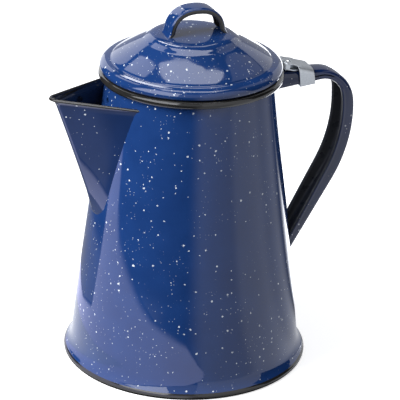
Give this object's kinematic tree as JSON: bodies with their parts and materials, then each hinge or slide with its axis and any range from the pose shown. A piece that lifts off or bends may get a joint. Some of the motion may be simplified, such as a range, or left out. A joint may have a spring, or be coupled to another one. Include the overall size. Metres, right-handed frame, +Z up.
{
  "type": "coffee percolator",
  "caption": "Tall tapered enamelled camping percolator with a V spout, channel handle and hinged domed lid, and a lift-out perforated basket on a pump tube.",
  "frame": {"origin": "on the pot's axis, at the plane the base stands on", "axes": "+Z up the pot's axis, +X from the axis to the handle, -X to the spout"},
  "size_m": [0.1864, 0.1444, 0.2167],
  "materials": {
    "blue_enamel": "glossy vitreous enamel with small white speckles",
    "black_enamel": "glossy black vitreous enamel",
    "bright_steel": "satin stainless sheet",
    "plain_aluminium": "satin spun aluminium"
  },
  "bodies": {
    "pot": {"pot_wall": "blue_enamel", "base_pan": "black_enamel", "spout": "blue_enamel", "handle": "blue_enamel", "hinge_clip": "bright_steel", "hinge_pin": "bright_steel"},
    "lid": {"lid_shell": "blue_enamel", "lid_locating_ring": "blue_enamel", "lid_loop": "blue_enamel", "lid_hinge_leaf": "bright_steel"},
    "pump": {"pump_tube": "plain_aluminium", "pump_base": "plain_aluminium", "basket_stop": "plain_aluminium"},
    "basket": {"basket": "plain_aluminium", "basket_sleeve": "plain_aluminium"},
    "basket_cover": {"basket_cover": "plain_aluminium"}
  },
  "joints": [
    {"name": "lid_hinge", "type": "hinge", "parent": "pot", "child": "lid", "pos_m": [0.0572, 0, 0.1756], "axis": [0, 1, 0], "range_deg": [0, 112]},
    {"name": "pump_lift", "type": "slide", "parent": "pot", "child": "pump", "axis": [0, 0, 1], "range_m": [0, 0.006]},
    {"name": "basket_spin", "type": "hinge", "parent": "pump", "child": "basket", "pos_m": [0, 0, 0.13], "axis": [0, 0, 1], "continuous": true},
    {"name": "cover_lift", "type": "slide", "parent": "basket", "child": "basket_cover", "axis": [0, 0, 1], "range_m": [0, 0.012]}
  ]
}
